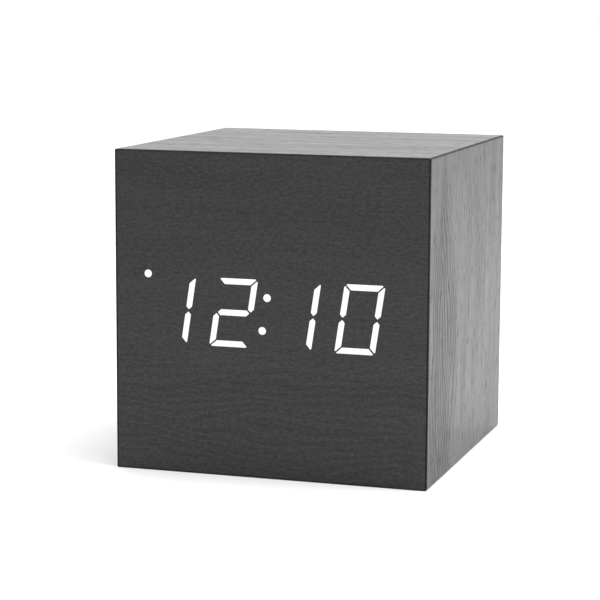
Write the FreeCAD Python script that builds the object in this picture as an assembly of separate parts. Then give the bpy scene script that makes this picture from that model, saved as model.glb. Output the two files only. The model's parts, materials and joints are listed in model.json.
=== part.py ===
"""Cube alarm clock: a box of mitred wood-fibre boards under wood-grain film, a four-digit
seven-segment display that shines through the front film, and a plastic rear cover that carries
three push buttons, a power socket and a battery bay for three AAA cells behind a tip-out door.

Millimetres, +Z up. The origin is the centre of the bottom face, and the front looks along -Y.
Each function makes one sub-part, or one group of identical pieces, and main() writes one STEP each.
"""

import FreeCAD
import Part
import math
import os

Vector = FreeCAD.Vector
ALONG_X = Vector(1, 0, 0)
ALONG_Y = Vector(0, 1, 0)

# ---------------------------------------------------------------- driving dimensions
# Case
cube = 60.0                     # outer edge length, film included
film = 0.25                     # wood-grain film
board = 4.0                     # side boards
front_board_depth = 3.0         # board behind the front film
fold_radius = 0.35              # outer radius of the long edges

# Display
LIT_BY_DIGIT = ("bc", "abged", "bc", "abcdef")      # 12:10, as the segments a to g of each digit
digit_height = 12.7
digit_width = 7.6
digit_pitch = 12.0
segment_width = 1.1
segment_gap = 0.21              # between neighbouring segments, along each axis
segment_corner = 0.5            # what is cut off a digit's outer corners
slant_deg = 8.5
display_x = -0.8                # middle of the four digits
display_lift = 0.6              # above the middle of the front
colon_spacing = 6.1
dot_radius = 0.72
alarm_dot_gap = 0.9             # from the first digit's left edge to the dot's centre
alarm_dot_lift = 6.5
module_side_margin = 2.5        # beside the digits
module_end_margin = 2.15        # above and below them
reflector_depth = 6.4
resin_gap = 0.4                 # free height over a light-emitting die
die_size = 0.5
die_height = 0.2
module_air = 0.05               # between the module and the film
display_board_depth = 1.0
light_seal = 0.6                # foam ring round the module
pins_per_row = 6
pin_pitch = 2.54
pin_edge = 0.88                 # from a row's centre to the module's edge
pin_radius = 0.3
pin_tail = 1.0

# Main board
main_board_width = 49.0
main_board_height = 44.0
main_board_depth = 1.2
main_board_gap = 0.5            # behind the display board
spacer_x = 21.5                 # from the middle of the main board
spacer_z = 19.0
spacer_radius = 2.25
board_screw_bite = 2.2          # in the front board

# Rear cover
cover_depth = 2.0
cover_recess = 1.5              # below the boards' rear edges
cover_clearance = 0.2
cover_corner = 0.6
corner_block = 6.5
corner_block_depth = 10.0
screw_radius = 0.95
screw_hole_clearance = 0.2
screw_head_radius = 1.9
head_edge_share = 0.35          # of a head's depth that its rounded rim takes
cross_length_share = 1.3        # of a head's radius: the cross recess, end to end
cross_width_share = 0.3
cross_depth_share = 0.6         # of a head's depth
screw_head_depth = 1.2
screw_head_sink = 0.9           # depth of the counterbore
counterbore_clearance = 0.25
cover_screw_length = 8.0

# Battery bay
cell_radius = 5.15
cell_length = 44.5              # with its button
cell_button_radius = 1.9
cell_button_length = 0.9
cell_gap = 0.5                  # between two cells
cells = 3
cell_clearance = 0.3            # cell to bay floor, and cell to door
bay_wall = 1.2                  # end walls
bay_side_wall = 1.0             # upper and lower walls
bay_floor = 1.2
bay_rib_width = 0.8
bay_rib_height = 1.5
bay_rib_end_gap = 0.6           # from a rib's end to the bay's end wall
contact_depth = 0.3
contact_width = 8.0
tab_width = 2.0
tab_reach = 1.5                 # past the outside of the bay floor
tab_slot_clearance = 0.1
spring_length = 3.3             # between a contact plate and a cell's flat end
spring_wire = 0.22              # radius of the wire
spring_base_radius = 3.2
spring_tip_radius = 1.9
spring_turns = 2.5
spring_points_per_turn = 8       # corners that the coil's wire is routed round
spring_clearance = 0.05

# Battery door and latch
door_depth = 1.5
door_clearance = 0.2
door_ledge = 1.2                # what the door covers above and below the bay
door_seat_gap = 0.05            # between the door and the ledge behind it
hook_x = 17.5                   # the two hooks, either side of the middle
hook_width = 2.4
hook_depth = 1.0
hook_reach = 1.4                # above the door's upper edge
hook_air = 0.15                 # between a hook and the cover
hook_notch_air = 0.3
grip_ribs = 4
grip_rib_width = 12.0
grip_rib_height = 0.35
grip_rib_pitch = 1.4
grip_rib_depth = 0.7            # a rib's own width, up the door
grip_low = 3.0                  # from the door's lower edge to the first rib's middle
arrow_gap = 1.0                 # above the ribs
arrow_size = 3.0
arrow_sink = 0.5
latch_width = 9.0
latch_leg = 0.8
latch_gap = 1.9                 # between the two legs of the U
latch_reach = 6.5               # from the cover's outer face to the bend's axis
latch_bend_radius = 0.6
latch_bend_air = 0.05
latch_nib = 0.4                 # bite behind the cover
latch_nib_length = 0.8
latch_nib_air = 0.3
latch_play = 0.15               # between the outer leg and the cover's edge
latch_thumb = 0.7               # how far the thumb pad stands out
latch_thumb_height = 1.6
latch_side_air = 0.5
latch_well_wall = 0.8
latch_well_air = 0.9            # behind the bend, and under the nib

# Buttons and key board
button_row_x = (-3.0, 5.0, 13.0)
button_radius = 2.25
button_clearance = 0.15
button_stand = 0.8              # out of the cover
button_flange_lip = 0.55        # past the button's side
button_flange_depth = 0.6
button_play = 0.05              # between flange and cover
button_stem_radius = 1.2
button_crown = 0.3
button_dish_rim = 1.05          # past the button's side
button_dish_depth = 0.3
plunger_radius = 1.15
plunger_stand = 0.95            # out of the switch
plunger_foot = 0.5              # inside the switch
plunger_travel = 0.3
plunger_clearance = 0.05
stem_length = 0.6               # from the flange to the plunger
switch_size = 4.5
switch_body_depth = 2.2
switch_cover_depth = 0.2
key_board_margin = 1.4          # past a boss's centre
key_board_socket_margin = 0.7   # past the socket's side
key_board_height = 7.6
key_board_depth = 1.2
key_boss_gap = 0.2              # from a boss to the nearest button's flange
key_boss_radius = 1.5
key_screw_radius = 0.65
key_screw_head_radius = 1.3
key_screw_head_depth = 0.9
key_screw_bite = 3.5

# Power socket, microphone and sound slots
socket_x = -14.5
socket_width = 7.4
socket_height = 2.7
socket_wall = 0.25
socket_flare = 0.5              # taken off the mouth's two narrow corners
socket_sink = 0.6               # mouth below the cover's outer face
socket_slot_clearance = 0.3
tongue_width = 4.8
tongue_height = 0.6
tongue_length = 3.2
tongue_sink = 1.0               # the tongue's tip below the mouth
socket_contacts = 5
socket_contact_pitch = 0.65
socket_contact_width = 0.35
socket_contact_length = 2.9
socket_contact_depth = 0.08
mic_x = -13.5
mic_radius = 2.0
mic_depth = 1.5
mic_hole_radius = 0.7
grommet_wall = 0.7
mic_boss_wall = 0.8
mic_boss_depth = 2.4
sound_slots = 5
sound_slot_x = 14.0
sound_slot_pitch = 1.9
sound_slot_width = 0.9
sound_slot_length = 4.6

# Parts on the main board
chip_size = (7.5, 2.3, 10.3)
chip_leads = 8                  # on each side
chip_lead_pitch = 1.27
chip_lead = (1.4, 0.25, 0.4)
coin_radius = 6.25
coin_depth = 2.0
coin_holder_wall = 1.0
coin_holder_floor = 0.8
coin_clip_width = 4.0
coin_clip_depth = 0.25
buzzer_radius = 4.5
buzzer_depth = 5.5
buzzer_wall = 0.6
buzzer_hole_radius = 1.0
buzzer_disc_depth = 0.15
capacitor_radius = 2.5
capacitor_depth = 7.0
crystal_radius = 1.0
crystal_length = 6.0
resistor_size = (1.6, 0.55, 0.8)
resistor_pitch = 3.0
transistor_size = (2.9, 1.0, 1.3)
transistor_pitch = 5.0
small_parts_per_row = 4
bead_radius = 1.1
bead_leg = 3.5                  # the legs' length below the bead
bead_leg_radius = 0.2
bead_leg_bury = 0.5             # how far the legs run into the bead
header_wall = 0.7
header_height = 5.7
header_depth = 6.0
header_pitch = 2.0
plug_clearance = 0.05
plug_stand = 0.8                # out of the header's mouth
plug_floor = 0.6                # closed end of a lead's channel
lead_radius = 0.45
lead_exit = 3.0                 # straight run where a lead leaves a tab or board
plug_exit = 5.0                 # straight run where it leaves a plug
lead_arc_share = 0.45           # of the shorter of two runs that the arc between them takes
battery_lead_inset = 4.0        # from a solder tab towards the middle
battery_lead_rise = 1.5         # above the plug's straight run
key_lead_bow = 0.4              # sideways, half way along
key_lead_drop = 2.0

# Drawing
overcut = 1.0                   # how far a cutting tool runs past an open face
tolerance = 1e-6

# ---------------------------------------------------------------- places that follow
half = cube / 2
display_z = half + display_lift
front_y = -half
rear_y = half
film_back_y = front_y + film
front_board_back_y = film_back_y + front_board_depth
floor_z = film + board
ceiling_z = cube - floor_z
inner = cube - 2 * floor_z
board_corner = max(fold_radius - film, 0.0)

middle_digit = (len(LIT_BY_DIGIT) - 1) / 2
module_width = 2 * middle_digit * digit_pitch + digit_width + 2 * module_side_margin
module_height = digit_height + 2 * module_end_margin
pin_row_spacing = module_height - 2 * pin_edge
alarm_dot_x = -(middle_digit * digit_pitch + digit_width / 2 + alarm_dot_gap)
module_front_y = film_back_y + module_air
reflector_back_y = module_front_y + reflector_depth
display_board_back_y = reflector_back_y + display_board_depth
main_front_y = display_board_back_y + main_board_gap
main_back_y = main_front_y + main_board_depth

cover_out_y = rear_y - cover_recess
cover_in_y = cover_out_y - cover_depth
cover_screw_offset = inner / 2 - corner_block / 2

cell_pitch = 2 * cell_radius + cell_gap
bay_length = cell_length + spring_length + 2 * contact_depth
bay_height = cells * cell_pitch
bay_low_z = half - bay_height / 2
bay_high_z = half + bay_height / 2
door_in_y = cover_out_y - door_depth
cell_y = door_in_y - cell_clearance - cell_radius
bay_floor_y = cell_y - cell_radius - cell_clearance
bay_back_y = bay_floor_y - bay_floor
door_low_z = bay_low_z - door_ledge
door_high_z = bay_high_z + door_ledge
door_width = bay_length - 2 * door_clearance

button_flange_radius = button_radius + button_flange_lip
key_boss_reach = button_flange_radius + key_boss_gap + key_boss_radius
key_boss_x = (button_row_x[0] - key_boss_reach, button_row_x[-1] + key_boss_reach)
upper_row_z = (door_high_z + ceiling_z) / 2
lower_row_z = (door_low_z + floor_z) / 2

bend_y = cover_out_y - latch_reach
latch_high_z = door_low_z - latch_leg - latch_gap      # top of the outer leg
latch_low_z = latch_high_z - latch_leg
lip_z = latch_low_z - latch_play                       # the cover's edge that the nib bites behind
bend_z = (door_low_z - latch_leg + latch_high_z) / 2

plunger_rest_y = cover_in_y - button_play - button_flange_depth - stem_length
switch_front_y = plunger_rest_y - plunger_stand        # the switch's rear face, towards the button
key_board_rear_y = switch_front_y - switch_cover_depth - switch_body_depth
key_board_front_y = key_board_rear_y - key_board_depth


# ---------------------------------------------------------------- helpers
def block(x, y, z):
    """A box from three (low, high) pairs."""
    low = Vector(x[0], y[0], z[0])
    return Part.makeBox(x[1] - x[0], y[1] - y[0], z[1] - z[0], low)


def centred(middle, size):
    """(low, high) of a length about its middle."""
    return middle - size / 2, middle + size / 2


def rod(radius, x, z, y):
    """A cylinder along Y between the two values of y."""
    return Part.makeCylinder(radius, y[1] - y[0], Vector(x, y[0], z), ALONG_Y)


def plate(points, y):
    """A closed outline of (x, z) points, extruded between the two values of y."""
    corners = [Vector(px, y[0], pz) for px, pz in points]
    face = Part.Face(Part.makePolygon(corners + corners[:1]))
    return face.extrude(Vector(0, y[1] - y[0], 0))


def square_block(size, radius, y):
    """A square block round the cube's middle line, with its four edges along Y rounded."""
    solid = block(centred(0, size), y, centred(half, size))
    if radius <= 0:
        return solid
    return solid.makeFillet(radius, edges_along_y(solid))


def edges_along_y(solid):
    return [e for e in solid.Edges if abs(abs(e.tangentAt(e.FirstParameter).y) - 1) < tolerance]


def rim_at(solid, y):
    """The full circles of the solid that lie at that y."""
    return [e for e in solid.Edges if len(e.Vertexes) == 1 and abs(e.CenterOfMass.y - y) < tolerance]


def cut_all(solid, tools):
    """The solid less every tool, in one cut."""
    return solid.cut(list(tools)) if tools else solid


def pan_head(radius, depth, x, z, y, outward):
    """A pan head with a cross recess. y is its seat, and outward is +1 or -1 along Y."""
    low = min(y, y + outward * depth)
    head = rod(radius, x, z, (low, low + depth))
    top_y = y + outward * depth
    head = head.makeFillet(depth * head_edge_share, rim_at(head, top_y))
    long, wide = radius * cross_length_share, radius * cross_width_share
    sides = sorted((top_y - outward * depth * cross_depth_share, top_y + outward * overcut))
    bars = [block(centred(x, long), sides, centred(z, wide)),
            block(centred(x, wide), sides, centred(z, long))]
    return head.cut(bars)


def screw(radius, length, head_radius, head_depth, x, z, seat_y, outward):
    """A pan-head screw whose head sits on seat_y, with its shank on the other side."""
    tip_y = seat_y - outward * length
    shank = rod(radius, x, z, sorted((seat_y, tip_y)))
    return pan_head(head_radius, head_depth, x, z, seat_y, outward).fuse(shank)


def routed_tube(points, radius):
    """A tube along straight runs joined by tangent arcs, as large as the runs allow."""
    corners = [Vector(*p) for p in points]
    edges, start = [], corners[0]
    for before, here, after in zip(corners, corners[1:], corners[2:]):
        back, on = (before - here), (after - here)
        turn = math.pi - back.getAngle(on)
        reach = lead_arc_share * min(back.Length, on.Length)
        bend = reach / math.tan(turn / 2)
        back.normalize()
        on.normalize()
        entry, leave = here + back * reach, here + on * reach
        inward = (back + on).normalize()
        middle = here + inward * (bend / math.cos(turn / 2) - bend)
        edges += [Part.makeLine(start, entry), Part.Arc(entry, middle, leave).toShape()]
        start = leave
    edges.append(Part.makeLine(start, corners[-1]))
    spine = Part.Wire(edges)
    first = corners[1] - corners[0]
    ring = Part.Wire(Part.makeCircle(radius, corners[0], first))
    return spine.makePipeShell([ring], True, False)


# ---------------------------------------------------------------- case
def mitred(tube, quarter):
    """The quarter of a square tube that one side board holds: 0 top, 1 right, 2 bottom, 3 left."""
    outline = [(0, half), (-cube, half + cube), (cube, half + cube)]
    wedge = plate(outline, (front_y - overcut, rear_y + overcut))
    wedge.rotate(Vector(0, 0, half), ALONG_Y, 90 * quarter)
    return tube.common(wedge)


def film_quarters():
    span = (film_back_y, rear_y)
    tube = square_block(cube, fold_radius, span).cut(square_block(cube - 2 * film, board_corner, span))
    return [mitred(tube, quarter) for quarter in range(4)]


def wrap_film():
    """One sheet up the left side, over the top and down the right side."""
    top, right, bottom, left = film_quarters()
    return top.fuse([left, right]).removeSplitter()


def base_film():
    """The sheet under the case, which meets the wrap at the two lower edges."""
    return film_quarters()[2]


def side_boards():
    span = (front_board_back_y, rear_y)
    tube = square_block(cube - 2 * film, board_corner, span).cut(square_block(inner, 0, span))
    return [mitred(tube, quarter) for quarter in range(4)]


def front_film():
    return square_block(cube, fold_radius, (front_y, film_back_y))


def window(grow, y):
    """The display's opening in the front board, or the module's outline with grow = 0."""
    return block(centred(display_x, module_width + 2 * grow), y,
                 centred(display_z, module_height + 2 * grow))


def spacer_places():
    return [(sx * spacer_x, half + sz * spacer_z) for sx in (-1, 1) for sz in (-1, 1)]


def front_board():
    """The board behind the front film, with the display's window and blind holes for the screws."""
    span = (film_back_y, front_board_back_y)
    bites = [rod(screw_radius, x, z, (front_board_back_y - board_screw_bite, front_board_back_y))
             for x, z in spacer_places()]
    sheet = square_block(cube - 2 * film, board_corner, span)
    return cut_all(sheet, [window(light_seal, span)] + bites)


def cover_screw_places():
    return [(sx * cover_screw_offset, half + sz * cover_screw_offset) for sx in (-1, 1) for sz in (-1, 1)]


def corner_blocks():
    """Glue blocks in the case's four corners, which the rear cover is screwed to."""
    y = (cover_in_y - corner_block_depth, cover_in_y)
    bite = (cover_in_y - cover_screw_length, cover_in_y)
    return [block(centred(x, corner_block), y, centred(z, corner_block)).cut(rod(screw_radius, x, z, bite))
            for x, z in cover_screw_places()]


# ---------------------------------------------------------------- display
def slanted(points, middle_x):
    """A digit's own points, leaning with the display and moved to their place."""
    lean = math.tan(math.radians(slant_deg))
    return [(middle_x + display_x + u + v * lean, display_z + v) for u, v in points]


def digit_segments():
    """The seven segments of an upright digit, a to g, as outlines about its middle."""
    w, h, t = digit_width / 2, digit_height / 2, segment_width
    d, c = segment_gap, segment_corner
    bar = [(c - w, h), (w - c, h), (w - (c + d) / 2, h - (c - d) / 2), (w - t - d, h - t),
           (t + d - w, h - t), ((c + d) / 2 - w, h - (c - d) / 2)]
    post = [(w, h - c), (w, t / 2 + d), (w - t / 2, d), (w - t, t / 2 + d), (w - t, h - t - d),
            (w - (c - d) / 2, h - (c + d) / 2)]
    middle = [(w - t / 2 - d, 0), (w - t - d, t / 2), (t + d - w, t / 2), (t / 2 + d - w, 0),
              (t + d - w, -t / 2), (w - t - d, -t / 2)]
    down = [(u, -v) for u, v in post]
    return {"a": bar, "b": post, "c": down, "d": [(u, -v) for u, v in bar],
            "e": [(-u, v) for u, v in down], "f": [(-u, v) for u, v in post], "g": middle}


def segment_outlines(lit):
    """Every segment of the four digits that is lit, or every one that isn't."""
    shapes = digit_segments()
    found = []
    for place, names in enumerate(LIT_BY_DIGIT):
        middle_x = (place - middle_digit) * digit_pitch
        found += [slanted(shapes[s], middle_x) for s in "abcdefg" if (s in names) == lit]
    return found


def dot_places():
    """The alarm dot and the two dots of the colon, as (x, z)."""
    colon = slanted([(0, colon_spacing / 2), (0, -colon_spacing / 2)], 0)
    return [(display_x + alarm_dot_x, display_z + alarm_dot_lift)] + colon


def light_wells(y):
    """One solid for each segment and dot, between two values of y."""
    outlines = segment_outlines(True) + segment_outlines(False)
    dots = [rod(dot_radius, x, z, y) for x, z in dot_places()]
    return [plate(points, y) for points in outlines] + dots


def display_reflector():
    y = (module_front_y, reflector_back_y)
    return cut_all(window(0, y), light_wells(y))


def resin(lit):
    """The clear resin in the wells of the lit segments and dots, or of the unlit segments."""
    y = (module_front_y, reflector_back_y - resin_gap)
    dots = [rod(dot_radius, x, z, y) for x, z in dot_places()] if lit else []
    return [plate(points, y) for points in segment_outlines(lit)] + dots


def light_dies():
    """One light-emitting die at the bottom of each well."""
    y = (reflector_back_y - die_height, reflector_back_y)
    middles = [(sum(p[0] for p in points) / len(points), sum(p[1] for p in points) / len(points))
               for points in segment_outlines(True) + segment_outlines(False)] + dot_places()
    return [block(centred(x, die_size), y, centred(z, die_size)) for x, z in middles]


def pin_places():
    columns = [display_x + (i - (pins_per_row - 1) / 2) * pin_pitch for i in range(pins_per_row)]
    return [(x, display_z + side * pin_row_spacing / 2) for side in (-1, 1) for x in columns]


def display_pins():
    y = (reflector_back_y, main_back_y + pin_tail)
    return [rod(pin_radius, x, z, y) for x, z in pin_places()]


def display_board():
    y = (reflector_back_y, display_board_back_y)
    return cut_all(window(0, y), [rod(pin_radius, x, z, y) for x, z in pin_places()])


def display_light_seal():
    """Foam ring that fills the window round the module and stops stray light."""
    y = (module_front_y, front_board_back_y)
    return window(light_seal, y).cut(window(0, y))


# ---------------------------------------------------------------- main board
def main_board():
    y = (main_front_y, main_back_y)
    sheet = block(centred(0, main_board_width), y, centred(half, main_board_height))
    holes = [rod(screw_radius + screw_hole_clearance, x, z, y) for x, z in spacer_places()]
    return cut_all(sheet, holes + [rod(pin_radius, x, z, y) for x, z in pin_places()])


def board_spacers():
    y = (front_board_back_y, main_front_y)
    return [rod(spacer_radius, x, z, y).cut(rod(screw_radius + screw_hole_clearance, x, z, y))
            for x, z in spacer_places()]


def board_screws():
    length = main_back_y - front_board_back_y + board_screw_bite
    return [screw(screw_radius, length, screw_head_radius, screw_head_depth, x, z, main_back_y, 1)
            for x, z in spacer_places()]


def on_board(depth, lift=0.0):
    """(low, high) in Y of a part of that depth on the main board's rear side."""
    return main_back_y + lift, main_back_y + lift + depth


def near_pins(x, above):
    """A place beside the display's pins, x from the middle and above the pins' middle line."""
    return x, display_z + above


def near_edge(x, row, inward):
    """A place inward of the board's upper (row 1) or lower (row -1) edge."""
    return x, half + row * (main_board_height / 2 - inward)


chip_place = near_pins(-14.5, 0)
coin_place = near_pins(15.0, 0)
crystal_place = near_pins(-14.0, -9.6)
resistor_row = near_pins(-14.0, 12.4)
transistor_row = near_pins(1.5, 10.9)
buzzer_place = near_edge(12.0, -1, 7.5)
capacitor_place = near_edge(-2.0, -1, 6.0)
battery_header_place = near_edge(-13.0, -1, 4.5)
key_header_place = near_edge(3.0, 1, 6.0)
bead_place = near_edge(15.5, 1, 8.5)


def controller_chip():
    wide, deep, tall = chip_size
    x, z = chip_place
    return block(centred(x, wide), on_board(deep, chip_lead[1]), centred(z, tall))


def chip_leads_row():
    out, thick, wide = chip_lead
    x, z = chip_place
    rows = [z + (i - (chip_leads - 1) / 2) * chip_lead_pitch for i in range(chip_leads)]
    right = x + chip_size[0] / 2
    left = x - chip_size[0] / 2
    return [block(span, on_board(thick), centred(row, wide))
            for row in rows for span in ((right - thick, right + out), (left - out, left + thick))]


def coin_holder():
    x, z = coin_place
    y = on_board(coin_holder_floor + coin_depth)
    outer = rod(coin_radius + coin_holder_wall, x, z, y)
    return outer.cut(rod(coin_radius, x, z, (y[0] + coin_holder_floor, y[1])))


def coin_cell():
    return rod(coin_radius, *coin_place, on_board(coin_depth, coin_holder_floor))


def coin_clip():
    """Spring strip over the coin cell, down to the board on both sides."""
    x, z = coin_place
    reach = coin_radius + coin_holder_wall
    outside = reach + coin_clip_depth
    top = main_back_y + coin_holder_floor + coin_depth
    width = centred(x, coin_clip_width)
    strip = block(width, (top, top + coin_clip_depth), centred(z, 2 * outside))
    legs = [block(width, (main_back_y, top), span)
            for span in ((z - outside, z - reach), (z + reach, z + outside))]
    return strip.fuse(legs)


def buzzer_case():
    x, z = buzzer_place
    y = on_board(buzzer_depth)
    hollow = rod(buzzer_radius - buzzer_wall, x, z, (y[0] + buzzer_wall, y[1] - buzzer_wall))
    hole = rod(buzzer_hole_radius, x, z, (y[0] + buzzer_wall, y[1]))
    return cut_all(rod(buzzer_radius, x, z, y), [hollow, hole])


def buzzer_disc():
    x, z = buzzer_place
    return rod(buzzer_radius - buzzer_wall, x, z, on_board(buzzer_disc_depth, buzzer_depth / 2))


def capacitor():
    return rod(capacitor_radius, *capacitor_place, on_board(capacitor_depth))


def crystal():
    x, z = crystal_place
    base = Vector(x - crystal_length / 2, main_back_y + crystal_radius, z)
    return Part.makeCylinder(crystal_radius, crystal_length, base, ALONG_X)


def temperature_bead():
    """A resin bead on two legs, which senses the room's temperature."""
    x, z = bead_place
    bead = Part.makeSphere(bead_radius, Vector(x, main_back_y + bead_leg + bead_radius, z))
    legs = [rod(bead_leg_radius, x + side * bead_radius / 2, z, on_board(bead_leg + bead_leg_bury))
            for side in (-1, 1)]
    return bead.fuse(legs)


def small_parts():
    """Chip resistors and driver transistors, in two short rows above the display's pins."""
    parts = []
    for place, pitch, (wide, deep, tall) in ((resistor_row, resistor_pitch, resistor_size),
                                             (transistor_row, transistor_pitch, transistor_size)):
        for i in range(small_parts_per_row):
            x = place[0] + (i - (small_parts_per_row - 1) / 2) * pitch
            parts.append(block(centred(x, wide), on_board(deep), centred(place[1], tall)))
    return parts


def header_ways(place, ways):
    x, z = place
    return [(x + (i - (ways - 1) / 2) * header_pitch, z) for i in range(ways)]


def wire_header(place, ways):
    """A shrouded header, open towards the rear."""
    x, z = place
    y = on_board(header_depth)
    length = ways * header_pitch + 2 * header_wall
    outer = block(centred(x, length), y, centred(z, header_height))
    mouth = block(centred(x, length - 2 * header_wall), (y[0] + header_wall, y[1]),
                  centred(z, header_height - 2 * header_wall))
    return outer.cut(mouth)


def wire_plug(place, ways):
    """The plug that fills a header's mouth, with a channel for each lead."""
    x, z = place
    y = (main_back_y + header_wall, main_back_y + header_depth + plug_stand)
    length = ways * header_pitch - 2 * plug_clearance
    body = block(centred(x, length), y, centred(z, header_height - 2 * (header_wall + plug_clearance)))
    channels = [rod(lead_radius, wx, wz, (y[0] + plug_floor, y[1])) for wx, wz in header_ways(place, ways)]
    return cut_all(body, channels)


# ---------------------------------------------------------------- rear cover
def bay_cell_rows():
    return [bay_low_z + (i + 0.5) * cell_pitch for i in range(cells)]


def tab_slot(side, z, grow=0.0):
    """A contact's solder tab through the bay floor. side is -1 left, +1 right."""
    inner_x = side * bay_length / 2
    x = sorted((inner_x + side * grow, inner_x - side * (contact_depth + grow)))
    return block(x, (bay_back_y - tab_reach, bay_floor_y), centred(z, tab_width + 2 * grow))


def hook_notches():
    """Room for the door's hooks, and for their swing, through the ledge and the bay's upper wall."""
    swing = math.hypot(cover_depth + hook_air + hook_depth, hook_reach)
    y = (cover_out_y - swing - hook_notch_air, cover_in_y)
    z = (bay_high_z - hook_notch_air, door_high_z + hook_reach + hook_notch_air)
    through = (door_in_y - cover_depth, door_in_y)
    edge = (bay_high_z, door_high_z + door_clearance)
    wide = hook_width + 2 * hook_notch_air
    return [block(centred(side * hook_x, wide), depth, height)
            for side in (-1, 1) for depth, height in ((y, z), (through, edge))]


def latch_well(grow):
    """The hollow that the latch sits in, or its outer walls with grow = latch_well_wall."""
    x = centred(0, latch_width + 2 * latch_side_air + 2 * grow)
    y = (bend_y - latch_bend_radius - latch_well_air - grow, cover_in_y)
    z = (lip_z - latch_well_air - grow, bay_low_z - bay_side_wall)
    return block(x, y, z)


def rear_cover():
    span = (cover_in_y, cover_out_y)
    out = cover_out_y + overcut
    body = square_block(inner - 2 * cover_clearance, cover_corner, span)
    tub = block(centred(0, bay_length + 2 * bay_wall), (bay_back_y, cover_in_y),
                (bay_low_z - bay_side_wall, bay_high_z + bay_side_wall))
    key_bosses = [rod(key_boss_radius, x, upper_row_z, (key_board_rear_y, cover_in_y)) for x in key_boss_x]
    mic_span = (cover_in_y - mic_boss_depth, cover_in_y)
    mic_boss = rod(mic_radius + grommet_wall + mic_boss_wall, mic_x, lower_row_z, mic_span)
    body = body.fuse([tub, latch_well(latch_well_wall), mic_boss] + key_bosses)

    bay = block(centred(0, bay_length), (bay_floor_y, out), (bay_low_z, bay_high_z))
    seat = block(centred(0, door_width + 2 * door_clearance), (door_in_y - door_seat_gap, out),
                 (door_low_z - door_clearance, door_high_z + door_clearance))
    gate_width = latch_width + 2 * latch_side_air
    latch_gate = block(centred(0, gate_width), (cover_in_y, out), (lip_z, door_low_z))
    tools = [bay, seat, latch_well(0), latch_gate] + hook_notches()
    for x, z in cover_screw_places():
        tools.append(rod(screw_radius + screw_hole_clearance, x, z, span))
        sink = (cover_out_y - screw_head_sink, out)
        tools.append(rod(screw_head_radius + counterbore_clearance, x, z, sink))
    for x in button_row_x:
        dish = (cover_out_y - button_dish_depth, out)
        tools.append(rod(button_radius + button_clearance, x, upper_row_z, span))
        tools.append(rod(button_radius + button_dish_rim, x, upper_row_z, dish))
    tools += [rod(key_screw_radius, x, upper_row_z, (key_board_rear_y, key_board_rear_y + key_screw_bite))
              for x in key_boss_x]
    tools.append(block(centred(socket_x, socket_width + 2 * socket_slot_clearance), (cover_in_y, out),
                       centred(upper_row_z, socket_height + 2 * socket_slot_clearance)))
    tools.append(rod(mic_radius + grommet_wall, mic_x, lower_row_z, mic_span))
    tools.append(rod(mic_hole_radius, mic_x, lower_row_z, span))
    tools += [sound_slot(i) for i in range(sound_slots)]
    tools += [tab_slot(-1, bay_cell_rows()[-1], tab_slot_clearance),
              tab_slot(1, bay_cell_rows()[0], tab_slot_clearance)]
    body = cut_all(body, tools)
    rib_length = bay_length - 2 * bay_rib_end_gap
    ribs = [block(centred(0, rib_length), (bay_floor_y, bay_floor_y + bay_rib_height),
                  centred(bay_low_z + i * cell_pitch, bay_rib_width)) for i in range(1, cells)]
    return body.fuse(ribs).removeSplitter()


def sound_slot(i):
    """One round-ended slot of the row in front of the buzzer."""
    x = sound_slot_x + (i - (sound_slots - 1) / 2) * sound_slot_pitch
    span = (cover_in_y, cover_out_y)
    straight = sound_slot_length - sound_slot_width
    ends = [rod(sound_slot_width / 2, x, lower_row_z + side * straight / 2, span) for side in (-1, 1)]
    return block(centred(x, sound_slot_width), span, centred(lower_row_z, straight)).fuse(ends)


def cover_screws():
    seat = cover_out_y - screw_head_sink
    length = seat - cover_in_y + cover_screw_length
    return [screw(screw_radius, length, screw_head_radius, screw_head_depth, x, z, seat, 1)
            for x, z in cover_screw_places()]


# ---------------------------------------------------------------- battery door and latch
def battery_door():
    """Flat door with two hooks along its upper edge and the latch's fixed leg under its lower edge."""
    body = block(centred(0, door_width), (door_in_y, cover_out_y), (door_low_z, door_high_z))
    hook_out_y = cover_in_y - hook_air
    hook_in_y = hook_out_y - hook_depth
    for side in (-1, 1):
        x = centred(side * hook_x, hook_width)
        neck = block(x, (hook_in_y, door_in_y), (bay_high_z, door_high_z))
        claw = block(x, (hook_in_y, hook_out_y), (bay_high_z, door_high_z + hook_reach))
        body = body.fuse([neck, claw])
    leg = block(centred(0, latch_width), (bend_y, cover_out_y), (door_low_z - latch_leg, door_low_z))
    bend_room = Part.makeCylinder(latch_bend_radius + latch_bend_air, latch_width,
                                  Vector(-latch_width / 2, bend_y, bend_z), ALONG_X)
    bridge = block(centred(0, latch_width), centred(bend_y, latch_leg), (bend_z, door_low_z))
    body = body.fuse([leg, bridge]).cut(bend_room)
    for i in range(grip_ribs):
        z = centred(door_low_z + grip_low + i * grip_rib_pitch, grip_rib_depth)
        rib = block(centred(0, grip_rib_width), (cover_out_y, cover_out_y + grip_rib_height), z)
        body = body.fuse(rib)
    tip_z = door_low_z + grip_low + grip_ribs * grip_rib_pitch + arrow_gap
    arrow = [(-arrow_size / 2, tip_z + arrow_size), (arrow_size / 2, tip_z + arrow_size), (0, tip_z)]
    return body.cut(plate(arrow, (cover_out_y - arrow_sink, cover_out_y))).removeSplitter()


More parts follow.
